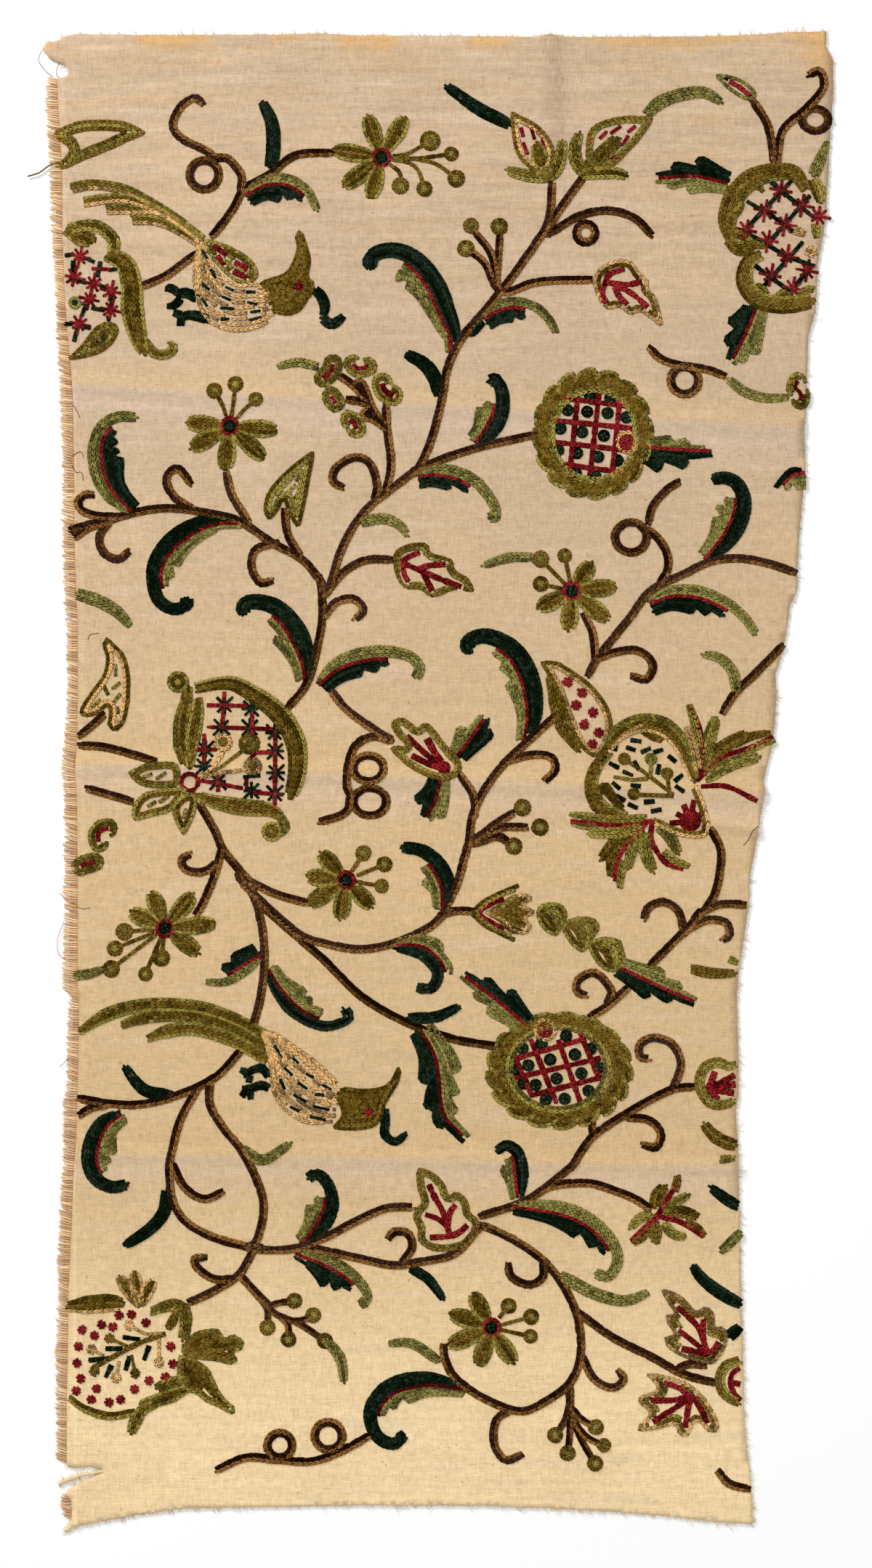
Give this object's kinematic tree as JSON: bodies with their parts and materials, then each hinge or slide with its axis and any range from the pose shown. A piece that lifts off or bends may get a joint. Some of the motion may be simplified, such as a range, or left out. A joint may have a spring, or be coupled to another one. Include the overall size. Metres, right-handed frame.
{
  "type": "crewel embroidery panel",
  "caption": "Cut length of cream twill with a looped selvedge fringe, worked all over in crewel wool with scrolling leaves, flowers and birds, lying face up.",
  "frame": {"origin": "middle of the whole piece in plan, on the flat surface that it lies on", "axes": "+X across the cloth towards its right cut edge, +Y along the cloth towards its top edge, +Z out of the worked face"},
  "size_m": [0.544, 1.0338, 0.0031],
  "materials": {
    "twill_cloth": "matt twill, aged",
    "weft_fringe": "matt yarn loops",
    "wool_dark_green": "matt two-ply wool",
    "wool_sage": "matt two-ply wool",
    "wool_olive": "matt two-ply wool",
    "wool_light_olive": "matt two-ply wool",
    "wool_brown": "matt two-ply wool",
    "wool_tan": "matt two-ply wool",
    "wool_red": "matt two-ply wool",
    "wool_sand": "matt two-ply wool"
  },
  "bodies": {
    "root": {"ground_cloth": "twill_cloth", "selvedge_fringe": "weft_fringe", "tab_fringe": "weft_fringe"}
  },
  "joints": []
}
